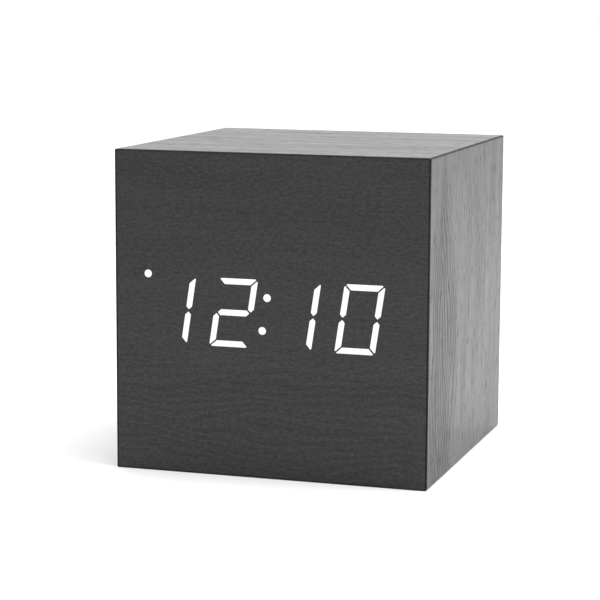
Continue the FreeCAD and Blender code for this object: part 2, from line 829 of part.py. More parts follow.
def door_latch():
    """The latch's sprung leg, which turns about the bend when its thumb pad is pushed up.

    It slopes down from the bend to the cover's lip, so that the bend clears the lip as the door
    tips out.
    """
    left_x = -latch_width / 2
    bend = Part.makeCylinder(latch_bend_radius, latch_width, Vector(left_x, bend_y, bend_z), ALONG_X)
    nib_y = cover_in_y - latch_nib_air
    nib_root_y = nib_y - latch_nib_length
    pad_y = cover_out_y + latch_thumb
    outline = [(bend_y, bend_z - latch_bend_radius), (nib_root_y, latch_low_z), (nib_y, lip_z - latch_nib),
               (nib_y, latch_low_z), (pad_y, latch_low_z), (pad_y, latch_low_z + latch_thumb_height),
               (pad_y - latch_leg - latch_thumb, latch_low_z + latch_thumb_height),
               (pad_y - latch_leg - latch_thumb, latch_high_z), (nib_root_y, latch_high_z),
               (bend_y, bend_z - latch_bend_radius + latch_leg)]
    corners = [Vector(left_x, y, z) for y, z in outline]
    leg = Part.Face(Part.makePolygon(corners + corners[:1])).extrude(Vector(latch_width, 0, 0))
    return bend.fuse(leg).removeSplitter()


# ---------------------------------------------------------------- cells and contacts
def plus_side(row):
    """-1 where a cell's button points left, +1 where it points right: the cells alternate."""
    return -1 if (cells - 1 - row) % 2 == 0 else 1


def aaa_cell(row):
    """A cell with its button against one contact plate and its flat end against a spring."""
    z = bay_cell_rows()[row]
    side = plus_side(row)
    button_x = side * (bay_length / 2 - contact_depth)
    shoulder_x = button_x - side * cell_button_length
    end_x = button_x - side * cell_length
    low = min(shoulder_x, end_x)
    can = Part.makeCylinder(cell_radius, abs(shoulder_x - end_x), Vector(low, cell_y, z), ALONG_X)
    low = min(shoulder_x, button_x)
    button = Part.makeCylinder(cell_button_radius, cell_button_length, Vector(low, cell_y, z), ALONG_X)
    return can.fuse(button)


def contact_plate(side, rows):
    """A strip against one end wall that serves one cell, or joins two."""
    inner_x = side * bay_length / 2
    x = sorted((inner_x, inner_x - side * contact_depth))
    heights = [bay_cell_rows()[row] for row in rows]
    z = (min(heights) - contact_width / 2, max(heights) + contact_width / 2)
    strip = block(x, centred(cell_y, contact_width), z)
    if len(rows) > 1:
        return strip
    neck = block(x, (bay_floor_y, cell_y), centred(heights[0], tab_width))
    return strip.fuse([neck, tab_slot(side, heights[0])]).removeSplitter()


def contact_plates():
    """In series: one end of the stack is at the upper left, the other at the lower right."""
    last = cells - 1
    plates = [contact_plate(-1, [last])]
    for row in range(last, 0, -1):
        plates.append(contact_plate(plus_side(row) * -1, [row, row - 1]))
    plates.append(contact_plate(plus_side(0) * -1, [0]))
    return plates


def cell_spring(row):
    """Conical coil between a contact plate and the cell's flat end."""
    side = -plus_side(row)
    base_x = side * (bay_length / 2 - contact_depth - spring_wire - spring_clearance)
    reach = spring_length - 2 * (spring_wire + spring_clearance)
    steps = round(spring_turns * spring_points_per_turn)
    points = []
    for i in range(steps + 1):
        angle = 2 * math.pi * i / spring_points_per_turn
        radius = spring_base_radius + (spring_tip_radius - spring_base_radius) * i / steps
        points.append((base_x - side * reach * i / steps, cell_y + radius * math.cos(angle),
                       bay_cell_rows()[row] + radius * math.sin(angle)))
    return routed_tube(points, spring_wire)


# ---------------------------------------------------------------- buttons and key board
def button(x):
    """A cap with a crowned top, the flange that keeps it in, and a stem towards its switch."""
    top_y = cover_out_y + button_stand
    flange = (cover_in_y - button_play - button_flange_depth, cover_in_y - button_play)
    cap = rod(button_radius, x, upper_row_z, (flange[0], top_y))
    cap = cap.makeFillet(button_crown, rim_at(cap, top_y))
    stem = rod(button_stem_radius, x, upper_row_z, (plunger_rest_y, flange[0]))
    return cap.fuse([rod(button_flange_radius, x, upper_row_z, flange), stem]).removeSplitter()


def switch_plunger(x):
    y = (switch_front_y - plunger_foot, plunger_rest_y)
    return rod(plunger_radius, x, upper_row_z, y)


def switch_body(x):
    """The switch's moulded base, with room under the plunger for its travel."""
    y = (key_board_rear_y, key_board_rear_y + switch_body_depth)
    base = block(centred(x, switch_size), y, centred(upper_row_z, switch_size))
    room = plunger_foot + plunger_travel + plunger_clearance
    return base.cut(rod(plunger_radius + plunger_clearance, x, upper_row_z, (switch_front_y - room, y[1])))


def switch_cover(x):
    y = (switch_front_y - switch_cover_depth, switch_front_y)
    sheet = block(centred(x, switch_size), y, centred(upper_row_z, switch_size))
    return sheet.cut(rod(plunger_radius + plunger_clearance, x, upper_row_z, y))


def key_board():
    y = (key_board_front_y, key_board_rear_y)
    left_x = socket_x - socket_width / 2 - key_board_socket_margin
    sheet = block((left_x, key_boss_x[1] + key_board_margin), y, centred(upper_row_z, key_board_height))
    return cut_all(sheet, [rod(key_screw_radius, x, upper_row_z, y) for x in key_boss_x])


def key_board_screws():
    length = key_board_depth + key_screw_bite
    return [screw(key_screw_radius, length, key_screw_head_radius, key_screw_head_depth, x, upper_row_z,
                  key_board_front_y, -1) for x in key_boss_x]


def socket_outline(width, height):
    """The socket's mouth, with its two lower corners cut off."""
    high, low = upper_row_z + height / 2, upper_row_z - height / 2
    left, right = socket_x - width / 2, socket_x + width / 2
    return [(left, high), (right, high), (right, low + socket_flare), (right - socket_flare, low),
            (left + socket_flare, low), (left, low + socket_flare)]


def socket_mouth(y):
    """The hollow of the socket, a wall's thickness inside its outline."""
    outline = socket_outline(socket_width - 2 * socket_wall, socket_height - 2 * socket_wall)
    return plate(outline, y)


def socket_shell():
    y = (key_board_rear_y, cover_out_y - socket_sink)
    mouth = socket_mouth((y[0] + socket_wall, y[1]))
    return plate(socket_outline(socket_width, socket_height), y).cut(mouth)


def tongue_run():
    """(root, tip) of the tongue in Y."""
    tip_y = cover_out_y - socket_sink - tongue_sink
    return tip_y - tongue_length, tip_y


def tongue_heights():
    """(low, high) of the tongue, which hangs nearer the socket's upper wall."""
    middle_z = upper_row_z + socket_height / 2 - socket_wall - tongue_height
    return centred(middle_z, tongue_height)


def socket_tongue():
    """The insulating block at the socket's bottom and the tongue that stands on it."""
    root = socket_mouth((key_board_rear_y + socket_wall, tongue_run()[0]))
    tongue = block(centred(socket_x, tongue_width), tongue_run(), tongue_heights())
    return root.fuse(tongue).removeSplitter()


def socket_contact_strips():
    """Contact strips along the underside of the tongue."""
    low_z = tongue_heights()[0]
    root_y = tongue_run()[0]
    middle = (socket_contacts - 1) / 2
    xs = [socket_x + (i - middle) * socket_contact_pitch for i in range(socket_contacts)]
    return [block(centred(x, socket_contact_width), (root_y, root_y + socket_contact_length),
                  (low_z - socket_contact_depth, low_z)) for x in xs]


def microphone():
    return rod(mic_radius, mic_x, lower_row_z, (cover_in_y - mic_depth, cover_in_y))


def mic_grommet():
    y = (cover_in_y - mic_boss_depth, cover_in_y)
    ring = rod(mic_radius + grommet_wall, mic_x, lower_row_z, y)
    return ring.cut(rod(mic_radius, mic_x, lower_row_z, (cover_in_y - mic_depth, cover_in_y)))


# ---------------------------------------------------------------- inner wiring
def plug_mouth_y():
    """Where a lead leaves its plug, and where its channel ends."""
    return main_back_y + header_depth + plug_stand, main_back_y + header_wall + plug_floor


def battery_leads():
    """From the two solder tabs to the battery plug, clear of the parts on the main board."""
    mouth_y, end_y = plug_mouth_y()
    start_y = bay_back_y - tab_reach
    stack_ends = [(-1, bay_cell_rows()[-1]), (1, bay_cell_rows()[0])]
    leads = []
    for (side, z), (way_x, way_z) in zip(stack_ends, header_ways(battery_header_place, 2)):
        tab_x = side * (bay_length / 2 - contact_depth / 2)
        turn_y = mouth_y + plug_exit + battery_lead_rise
        leads.append(routed_tube([
            (tab_x, start_y, z), (tab_x, start_y - lead_exit, z),
            (tab_x - side * battery_lead_inset, turn_y, (z + way_z) / 2),
            (way_x, mouth_y + plug_exit, way_z), (way_x, end_y, way_z)], lead_radius))
    return leads


def key_leads():
    """Five leads from the key board, over the battery bay and down to their plug."""
    mouth_y, end_y = plug_mouth_y()
    start_y = key_board_front_y
    leads = []
    for way_x, way_z in header_ways(key_header_place, 5):
        leads.append(routed_tube([
            (way_x, start_y, upper_row_z), (way_x, start_y - lead_exit, upper_row_z),
            (way_x + key_lead_bow, (start_y + mouth_y) / 2, upper_row_z - key_lead_drop),
            (way_x, mouth_y + plug_exit, way_z), (way_x, end_y, way_z)], lead_radius))
    return leads


# ---------------------------------------------------------------- output
def all_nodes():
    """Every node's name and its solids."""
    nodes = {}
    for name, wall in zip(("top", "right", "bottom", "left"), side_boards()):
        nodes[name + "_board"] = [wall]
    nodes.update({
        "wrap_film": [wrap_film()],
        "base_film": [base_film()],
        "front_film": [front_film()],
        "front_board": [front_board()],
        "corner_blocks": corner_blocks(),
        "display_reflector": [display_reflector()],
        "lit_segments": resin(True),
        "unlit_segments": resin(False),
        "light_dies": light_dies(),
        "display_board": [display_board()],
        "display_pins": display_pins(),
        "display_light_seal": [display_light_seal()],
        "main_board": [main_board()],
        "board_spacers": board_spacers(),
        "board_screws": board_screws(),
        "controller_chip": [controller_chip()],
        "chip_leads": chip_leads_row(),
        "coin_holder": [coin_holder()],
        "coin_cell": [coin_cell()],
        "coin_clip": [coin_clip()],
        "buzzer_case": [buzzer_case()],
        "buzzer_disc": [buzzer_disc()],
        "capacitor": [capacitor()],
        "crystal": [crystal()],
        "temperature_bead": [temperature_bead()],
        "small_parts": small_parts(),
        "wire_headers": [wire_header(battery_header_place, 2), wire_header(key_header_place, 5)],
        "wire_plugs": [wire_plug(battery_header_place, 2), wire_plug(key_header_place, 5)],
        "battery_leads": battery_leads(),
        "key_leads": key_leads(),
        "rear_cover": [rear_cover()],
        "cover_screws": cover_screws(),
        "battery_door": [battery_door()],
        "door_latch": [door_latch()],
        "contact_plates": contact_plates(),
        "cell_springs": [cell_spring(row) for row in range(cells)],
        "switch_bodies": [switch_body(x) for x in button_row_x],
        "switch_covers": [switch_cover(x) for x in button_row_x],
        "key_board": [key_board()],
        "key_board_screws": key_board_screws(),
        "socket_shell": [socket_shell()],
        "socket_tongue": [socket_tongue()],
        "socket_contacts": socket_contact_strips(),
        "microphone": [microphone()],
        "mic_grommet": [mic_grommet()],
    })
    for row in range(cells):
        nodes[f"aaa_cell_{row + 1}"] = [aaa_cell(row)]
    for name, x in zip(("set", "down", "up"), button_row_x):
        nodes[name + "_button"] = [button(x)]
        nodes[name + "_plunger"] = [switch_plunger(x)]
    return nodes


def main():
    os.makedirs("parts", exist_ok=True)
    for name, solids in all_nodes().items():
        shape = solids[0] if len(solids) == 1 else Part.makeCompound(solids)
        shape.exportStep(f"parts/{name}.step")
        pieces = shape.Solids
        fine = shape.isValid() and all(s.isValid() and s.Volume > 0 for s in pieces)
        print(f"{name}: {len(pieces)} solid(s), {shape.Volume:.2f} mm3{'' if fine else '  NOT VALID'}")


main()
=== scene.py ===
# %% [markdown]
# # A cube alarm clock
# The clock is a box of thin boards under one black wood-grain film. Its digits have no glass in
# front of them: they shine through the film itself. The CAD model comes in first and stays where it
# is, and everything modelled here takes its size and place from it.

# %% Load the CAD model
import bmesh
import bpy
import json
import math
from mathutils import Matrix, Vector


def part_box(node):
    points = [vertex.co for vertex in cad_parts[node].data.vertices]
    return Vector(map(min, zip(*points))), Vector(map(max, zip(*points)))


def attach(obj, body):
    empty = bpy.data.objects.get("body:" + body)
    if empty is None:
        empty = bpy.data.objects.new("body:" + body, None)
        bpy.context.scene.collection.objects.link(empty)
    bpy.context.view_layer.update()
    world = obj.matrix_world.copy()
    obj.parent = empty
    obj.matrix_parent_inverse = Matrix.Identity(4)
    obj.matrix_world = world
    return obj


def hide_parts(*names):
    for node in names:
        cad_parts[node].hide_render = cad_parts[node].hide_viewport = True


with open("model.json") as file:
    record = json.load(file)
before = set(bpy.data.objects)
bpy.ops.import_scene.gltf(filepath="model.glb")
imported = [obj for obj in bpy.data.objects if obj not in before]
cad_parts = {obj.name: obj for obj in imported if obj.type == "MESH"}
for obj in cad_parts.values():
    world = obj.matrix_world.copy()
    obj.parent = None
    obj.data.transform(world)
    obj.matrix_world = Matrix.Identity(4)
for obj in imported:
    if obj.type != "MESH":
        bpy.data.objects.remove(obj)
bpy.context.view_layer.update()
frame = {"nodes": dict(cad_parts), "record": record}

mm = 0.001
nodes = frame["nodes"]
film_low, film_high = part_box("front_film")
wrap_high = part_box("wrap_film")[1]
front_y, film_back_y, rear_y = film_low.y, film_high.y, wrap_high.y
side, top_z = wrap_high.x, wrap_high.z
film = film_back_y - front_y
middle = Vector((0, 0, top_z / 2))
print(f"cube {2 * side / mm:.1f} mm wide and {top_z / mm:.1f} mm tall, film {film / mm:.2f} mm")

# %% [markdown]
# ## The camera
# A product picture of a small box is taken with a long lens from a few hand-widths away, a little
# above it and a little to its right, so that its front, side and top all show. The place and the
# lens are set together: further away needs a longer lens for the same size in the picture.

# %% Camera
camera_place = Vector((118.98, -385.8, 90.50)) * mm
camera_yaw, camera_pitch, camera_roll = (math.radians(a) for a in (17.625, 8.663, 0.277))
lens_length = 125.33
sensor_width = 36

camera_data = bpy.data.cameras.new("picture_camera")
camera_data.sensor_width = sensor_width
camera_data.lens = lens_length
camera_data.clip_start = 10 * mm
camera_data.clip_end = 20
camera = bpy.data.objects.new("picture_camera", camera_data)
bpy.context.scene.collection.objects.link(camera)
looking = Vector((-math.sin(camera_yaw) * math.cos(camera_pitch),
                  math.cos(camera_yaw) * math.cos(camera_pitch), -math.sin(camera_pitch)))
turned = looking.to_track_quat("-Z", "Y").to_matrix().to_4x4()
camera.matrix_world = (Matrix.Translation(camera_place) @ turned
                       @ Matrix.Rotation(camera_roll, 4, "Z"))
bpy.context.scene.camera = camera
print(f"camera {(camera_place - middle).length / mm:.0f} mm from the clock's middle")

# %% [markdown]
# ## Light and floor
# Black film shows its surroundings more than its own colour: seen flat on it is almost black, and at
# a glancing angle it mirrors whatever lies behind it. So the light is a bright, even studio with a
# white floor, and the brightest part of it stands behind the clock and to its right.

# %% Studio
front_studio = 0.75     # how bright the studio's walls are before the clock
rear_studio = 1.27      # and behind it
floor_width = 12
paper_white = (0.98, 0.98, 0.98, 1)


def add_floor():
    """A sheet of matte white paper, far wider than the picture."""
    bpy.ops.mesh.primitive_plane_add(size=floor_width, location=(0, 0, 0))
    floor = bpy.context.object
    floor.name = "studio_floor"
    paper = bpy.data.materials.new("white_paper")
    paper.use_nodes = True
    shader = paper.node_tree.nodes["Principled BSDF"]
    shader.inputs["Base Color"].default_value = paper_white
    shader.inputs["Roughness"].default_value = 0.9
    floor.data.materials.append(paper)


def softbox(name, place, size, watts, aim=None):
    """A square area light that faces a point, by default the clock."""
    lamp = bpy.data.lights.new(name, "AREA")
    lamp.shape = "SQUARE"
    lamp.size = size
    lamp.energy = watts
    lamp_object = bpy.data.objects.new(name, lamp)
    bpy.context.scene.collection.objects.link(lamp_object)
    lamp_object.location = place
    direction = Vector(aim or middle) - Vector(place)
    lamp_object.rotation_euler = direction.to_track_quat("-Z", "Y").to_euler()


def light_studio():
    """Walls that brighten smoothly from front to rear, and three soft lamps."""
    world = bpy.data.worlds.new("studio")
    world.use_nodes = True
    tree = world.node_tree
    way = tree.nodes.new("ShaderNodeTexCoord").outputs["Generated"]
    split = tree.nodes.new("ShaderNodeSeparateXYZ")
    brightness = tree.nodes.new("ShaderNodeMapRange")
    brightness.interpolation_type = "SMOOTHSTEP"
    for name, value in (("From Min", -1.0), ("From Max", 1.0), ("To Min", front_studio),
                        ("To Max", rear_studio)):
        brightness.inputs[name].default_value = value
    tree.links.new(way, split.inputs[0])
    tree.links.new(split.outputs["Y"], brightness.inputs["Value"])
    tree.links.new(brightness.outputs[0], tree.nodes["Background"].inputs["Strength"])
    tree.nodes["Background"].inputs["Color"].default_value = (1, 1, 1, 1)
    bpy.context.scene.world = world
    bpy.context.scene.view_settings.view_transform = "Standard"
    softbox("rear_softbox", (0.45, 0.75, 0.9), 0.8, 1.2, aim=(0.15, 0.35, 0))
    softbox("right_softbox", (0.5, -0.05, 0.27), 0.36, 2, aim=(0.03, -0.03, 0.02))
    softbox("top_softbox", (0.1, -0.1, 1.3), 1.0, 6.5)


add_floor()
light_studio()
print(f"studio: walls {front_studio} in front and {rear_studio} behind")

# %% [markdown]
# ## Working by hand, in code
# In edit mode a person clicks the faces or edges to work on. Here a short test does the clicking: it
# looks at each face's middle and normal, or each edge's middle and direction, and everything else is
# deselected first.

# %% Selection helpers
sharp = math.radians(40)            # a fold sharper than this is an edge to round
soft = math.radians(35)             # and one softer than this is shaded smooth
flat = math.radians(0.5)
same_point = 0.0005 * mm
same_place = 0.01 * mm


def only(piece):
    """Makes one object the active and only selected one."""
    if bpy.context.object and bpy.context.object.mode != "OBJECT":
        bpy.ops.object.mode_set(mode="OBJECT")
    bpy.ops.object.select_all(action="DESELECT")
    piece.select_set(True)
    bpy.context.view_layer.objects.active = piece


def edit(piece):
    """Opens a piece for editing."""
    only(piece)
    bpy.ops.object.mode_set(mode="EDIT")


def done():
    """Closes the open piece."""
    bpy.ops.object.mode_set(mode="OBJECT")


def choose_faces(piece, test):
    """Selects the faces for which test(middle, normal) holds."""
    bpy.ops.mesh.select_mode(type="FACE")
    mesh = bmesh.from_edit_mesh(piece.data)
    for face in mesh.faces:
        face.select_set(False)
    chosen = [f for f in mesh.faces if test(f.calc_center_median(), f.normal)]
    for face in chosen:
        face.select_set(True)
    bmesh.update_edit_mesh(piece.data)


def choose_edges(piece, test):
    """Selects the edges for which test(middle, direction, angle of the fold) holds, and counts them."""
    bpy.ops.mesh.select_mode(type="EDGE")
    mesh = bmesh.from_edit_mesh(piece.data)
    for edge in mesh.edges:
        edge.select_set(False)
    chosen = []
    for edge in mesh.edges:
        a, b = edge.verts
        if test((a.co + b.co) / 2, (b.co - a.co).normalized(), edge.calc_face_angle(0)):
            chosen.append(edge)
    for edge in chosen:
        edge.select_set(True)
    bmesh.update_edit_mesh(piece.data)
    return len(chosen)


def near(a, b):
    return abs(a - b) < same_place


def settle(piece, name):
    """Names a finished piece and moves its place into its mesh."""
    only(piece)
    bpy.ops.object.transform_apply(location=True, rotation=True, scale=True)
    piece.name = name
    piece.data.name = name
    return piece


def box_piece(low, high):
    """A box primitive between two corners."""
    low, high = Vector(low), Vector(high)
    bpy.ops.object.select_all(action="DESELECT")
    bpy.ops.mesh.primitive_cube_add(size=1, location=(low + high) / 2, scale=high - low)
    bpy.ops.object.transform_apply(location=True, rotation=True, scale=True)
    return bpy.context.object


def add_modifier(piece, kind, **settings):
    """Adds a modifier and applies it at once."""
    modifier = piece.modifiers.new(kind.lower(), kind)
    for name, value in settings.items():
        setattr(modifier, name, value)
    only(piece)
    bpy.ops.object.modifier_apply(modifier=modifier.name)


def smooth(piece):
    """Smooth shading over rounded edges. Large faces keep their own normals, so they stay flat."""
    only(piece)
    bpy.ops.object.shade_smooth_by_angle(angle=soft)
    add_modifier(piece, "WEIGHTED_NORMAL", keep_sharp=True, weight=100)


def tidy_copy(node, name):
    """A copy of a CAD node's mesh as one connected surface, with its flat faces whole again."""
    copy = bpy.data.objects.new(name, nodes[node].data.copy())
    bpy.context.scene.collection.objects.link(copy)
    copy.data.materials.clear()
    edit(copy)
    bpy.ops.mesh.select_all(action="SELECT")
    bpy.ops.mesh.remove_doubles(threshold=same_point)
    bpy.ops.mesh.customdata_custom_splitnormals_clear()
    bpy.ops.mesh.dissolve_limited(angle_limit=flat)
    done()
    copy.data.name = name
    return copy


# %% [markdown]
# ## Shader maths as sums
# A material is a network of nodes, and most of them only add, multiply or blend. Writing them as
# Python sums keeps each finish readable: Value wraps one socket, and every operator on it adds the
# Math node that does the same.

# %% Value and Finish
class Value:
    """One socket of a material, so that maths on it reads as Python."""

    def __init__(self, finish, socket):
        self.finish = finish
        self.socket = socket

    def maths(self, operation, *others):
        return self.finish.node("Math", {"operation": operation}, dict(enumerate([self, *others])))

    def __add__(self, other):
        return self.maths("ADD", other)

    def __radd__(self, other):
        return self.maths("ADD", other)

    def __sub__(self, other):
        return self.maths("SUBTRACT", other)

    def __rsub__(self, other):
        return self.finish.node("Math", {"operation": "SUBTRACT"}, {0: other, 1: self})

    def __mul__(self, other):
        return self.maths("MULTIPLY", other)

    def __rmul__(self, other):
        return self.maths("MULTIPLY", other)

    def __truediv__(self, other):
        return self.maths("DIVIDE", other)

    def above(self, low, high):
        """0 below low, 1 above high, and smooth between them."""
        return self.finish.node("MapRange", {"interpolation_type": "SMOOTHSTEP", "clamp": True},
                                {"Value": self, "From Min": low, "From Max": high})


class Finish:
    """A new material with one Principled shader."""

    def __init__(self, name, **constants):
        self.material = bpy.data.materials.new(name)
        self.material.use_nodes = True
        self.tree = self.material.node_tree
        self.shader = self.tree.nodes["Principled BSDF"]
        self.set(**constants)

    def node(self, kind, settings=None, values=None, output=0):
        """Adds a node, sets it, feeds its sockets, and returns one of its outputs."""
        made = self.tree.nodes.new("ShaderNode" + kind)
        for name, value in (settings or {}).items():
            setattr(made, name, value)
        for name, value in (values or {}).items():
            self.feed(made.inputs[name], value)
        return Value(self, made.outputs[output])

    def feed(self, socket, value):
        """Links a socket to a Value, or sets it to a number or a colour."""
        if isinstance(value, Value):
            self.tree.links.new(value.socket, socket)
        elif socket.type == "RGBA" and len(value) == 3:
            socket.default_value = (*value, 1)
        else:
            socket.default_value = value

    def set(self, **inputs):
        """Feeds the shader: base_color=... is its Base Color socket."""
        names = {"ior": "IOR", "base_color": "Base Color"}
        for name, value in inputs.items():
            label = names.get(name, name.replace("_", " ").title())
            self.feed(self.shader.inputs[label], value)

    def place(self, scale, uv=None, offset=(0, 0, 0)):
        """Coordinates in millimetres times a scale along each axis."""
        if uv:
            source = self.node("UVMap", {"uv_map": uv})
        else:
            source = self.node("TexCoord", output="Object")
        per_mm = 1 if uv else 1000
        stretched = tuple(per_mm * s for s in scale)
        return self.node("Mapping", None, {"Vector": source, "Scale": stretched, "Location": offset})

    def axes(self, vector):
        """The X, Y and Z of a vector, each as a Value."""
        first = self.node("SeparateXYZ", None, {0: vector})
        return [Value(self, socket) for socket in first.socket.node.outputs]

    def noise(self, vector, detail=2.0, rough=0.5):
        """Clouds from 0 to 1, one to a unit of the vector. detail adds finer ones."""
        return self.node("TexNoise", None, {"Vector": vector, "Scale": 1.0, "Detail": detail,
                                            "Roughness": rough})

    def blend(self, factor, first, second):
        """The first colour where the factor is 0, the second where it is 1."""
        return self.node("Mix", {"data_type": "RGBA"}, {0: factor, 6: first, 7: second}, output=2)

    def bump(self, height, depth):
        """Feeds the shader's Normal from a height from 0 to 1. depth is in millimetres."""
        self.set(normal=self.node("Bump", None, {"Height": height, "Distance": depth * mm,
                                                 "Strength": 1.0}))


# %% [markdown]
# ## Black wood-grain film
# The film is a thin plastic sheet printed and pressed with open-pore oak grain. Its pores are short
# grooves, far longer than they are wide, and between them the growth rings bend into tall arches.
# Straight on, the grain is hardly darker than the rest. At a glancing angle each groove tips the
# surface a little, so the reflection breaks into streaks. That is why most of the grain here is in
# the bump and the roughness, and only a little of it is in the colour.

# %% Film finishes
pore_black = (0.0005, 0.0005, 0.0006)
film_grey = (0.0175, 0.0175, 0.018)
fleck_grey = (0.16, 0.16, 0.16)
film_gloss = 0.30


def streaks(finish, uv, along, across, seed, detail=2):
    """Noise drawn out along the grain. along and across are its features per millimetre."""
    return finish.noise(finish.place((along, across, 1), uv, offset=(seed, seed * 0.37, seed)),
                        detail=detail, rough=0.6)


def arches(finish, uv, centre, length, width, ring_pitch):
    """Growth rings bent round a point of the sheet, fading out past their width."""
    u, v, _ = finish.axes(finish.place((1, 1, 1), uv))
    along = u - centre[0]
    across = v - centre[1]
    wander = (streaks(finish, uv, 0.05, 0.1, 11, detail=1) - 0.5) * width
    off_middle = along / length
    reach = (across + wander).maths("ABSOLUTE") + off_middle * off_middle * width
    rings = (reach * (2 * math.pi / ring_pitch)).maths("SINE") * 0.5 + 0.5
    return rings * (1 - reach.above(width, width * 2.4))


def grain_film(name, uv, centre, arch, groove_depth, mottle, gloss_break):
    """The film, with its grain along U. The UV map is in millimetres.

    centre and arch place the growth rings. mottle is how much dust and flecks show in the colour,
    and gloss_break how much the grain dulls the gloss.
    """
    film_finish = Finish(name, ior=1.47)
    clouds = streaks(film_finish, uv, 0.03, 0.22, 5, detail=1)
    lines = streaks(film_finish, uv, 0.06, 1.5, 67, detail=1)
    strokes = streaks(film_finish, uv, 0.32, 2.0, 23, detail=1)
    pores = streaks(film_finish, uv, 0.35, 4.0, 41, detail=3)
    dust = film_finish.noise(film_finish.place((1.1, 2.2, 1), uv, offset=(3, 80, 0)), detail=4,
                             rough=0.65)
    figure = arches(film_finish, uv, centre, *arch)

    open_strokes = strokes.above(0.60, 0.74)
    open_pores = pores.above(0.52, 0.70)
    tone = ((clouds - 0.5) * 0.8 + (lines - 0.5) * 0.5 + (pores - 0.5) * 0.9
            + (dust - 0.5) * mottle - open_strokes * 0.35 - figure * 0.25)
    share = (tone + 0.55).maths("MAXIMUM", 0.0)
    dark = film_finish.blend(share, pore_black, film_grey)
    flecks = dust.above(0.68, 0.74)
    film_finish.set(base_color=film_finish.blend(flecks * 0.10, dark, fleck_grey))

    u = film_finish.axes(film_finish.place((1, 1, 1), uv))[0]
    crease = 1 - (u.maths("ABSOLUTE") - side / mm).maths("ABSOLUTE").above(0.12, 0.4)
    dull = (open_strokes * 0.26 + open_pores * 0.14 + figure * 0.16 + (lines - 0.5) * 0.22
            + (clouds - 0.5) * 0.18)
    film_finish.set(roughness=film_gloss + dull * gloss_break + crease * 0.5)
    height = 1 - open_pores * 0.45 - open_strokes * 0.35 - figure * 0.2
    film_finish.bump(height, groove_depth)
    return film_finish.material


wrap_finish = grain_film("wood_film_wrap", "grain", centre=(66, -20), arch=(26, 6.0, 1.9),
                         groove_depth=0.009, mottle=1.5, gloss_break=1.0)
front_finish = grain_film("wood_film_front", "grain", centre=(8, 10), arch=(60, 7.0, 1.6),
                          groove_depth=0.006, mottle=4.0, gloss_break=0.6)
print("film finishes:", wrap_finish.name, front_finish.name)

# %% [markdown]
# ## The wrap
# One sheet of film goes up the left side, over the top, down the right and under the base. A box
# primitive loses its front and back, its four long edges are bevelled to the fold's radius, and
# Solidify gives the sheet its thickness. The grain must run round the folds without a break, so the
# UV map unrolls the wrap: U is the way round, and V is the depth.

# %% Wrap film
fold_radius = 0.35 * mm
edge_ease = 0.08 * mm


def way_round(point, normal):
    """Millimetres round the wrap from the middle of the top, to the right."""
    x, down = point.x / mm, (top_z - point.z) / mm
    width = side / mm
    if abs(normal.z) >= abs(normal.x):
        return x if normal.z > 0 else 4 * width - x
    return width + down if normal.x > 0 else -width - down


def unroll(piece, name, along, across):
    """A UV map in millimetres from two functions of a corner's place and its face's normal."""
    layer = piece.data.uv_layers.new(name=name)
    for face in piece.data.polygons:
        for corner in face.loop_indices:
            point = piece.data.vertices[piece.data.loops[corner].vertex_index].co
            layer.data[corner].uv = (along(point, face.normal), across(point, face.normal))


def make_wrap():
    """The sheet round the case, open at its front and back."""
    skin = box_piece((-side, film_back_y, 0), (side, rear_y, top_z))
    edit(skin)
    choose_faces(skin, lambda at, normal: abs(normal.y) > 0.9)
    bpy.ops.mesh.delete(type="FACE")
    choose_edges(skin, lambda at, way, angle: abs(way.y) > 0.9)
    bpy.ops.mesh.bevel(offset=fold_radius, segments=5, profile=0.5)
    done()
    add_modifier(skin, "SOLIDIFY", thickness=film, offset=-1)
    edit(skin)
    rims = choose_edges(skin, lambda at, way, angle: (near(at.y, film_back_y) or near(at.y, rear_y))
                        and max(abs(at.x), abs(at.z - middle.z)) > side - film / 2
                        and angle > sharp)
    bpy.ops.mesh.bevel(offset=edge_ease, segments=2, profile=0.5)
    done()
    unroll(skin, "grain", way_round, lambda point, normal: point.y / mm)
    smooth(skin)
    skin.data.materials.append(wrap_finish)
    settle(skin, "wrap_skin")
    print("wrap: rim edges eased", rims)
    return skin


wrap = make_wrap()
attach(wrap, "clock")
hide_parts("wrap_film", "base_film")

# %% [markdown]
# ## The front film and the light in it
# The front sheet covers the boards' ends from edge to edge. Where a segment is lit, the film lets
# the light through, so those spots of the film are pieces of their own that glow. Their outlines are
# the CAD segments' own front faces: copied, extruded to the film's thickness and rounded a little at
# the corners, because light spreads inside the film. Boolean then opens the sheet for them. The
# sheet's fine pressed line, just inside its edge, is four insets one inside the other: flat, down a
# flank, flat along the line's floor, and up again.

# %% Lit windows
corner_spread = 0.09 * mm
score_inset = 0.05 * mm
score_flank = 0.01 * mm
score_width = 0.17 * mm
score_depth = 0.2 * mm
segment_corner = math.radians(20)   # less of a turn is part of a dot's round side


def window_finish():
    """Film with light behind it: its pores are a little thinner or thicker, so it isn't quite even."""
    window = Finish("light_through_film", roughness=0.3, emission_strength=1.0)
    pores = window.noise(window.place((0.35, 1, 4.0)), detail=3, rough=0.6).above(0.52, 0.70)
    window.set(base_color=window.blend(pores, (0.024, 0.024, 0.024), (0.012, 0.012, 0.012)),
               emission_color=window.blend(pores, (1.0, 1.0, 1.0), (0.95, 0.955, 0.96)))
    window.bump(1 - pores * 0.45, 0.006)
    return window


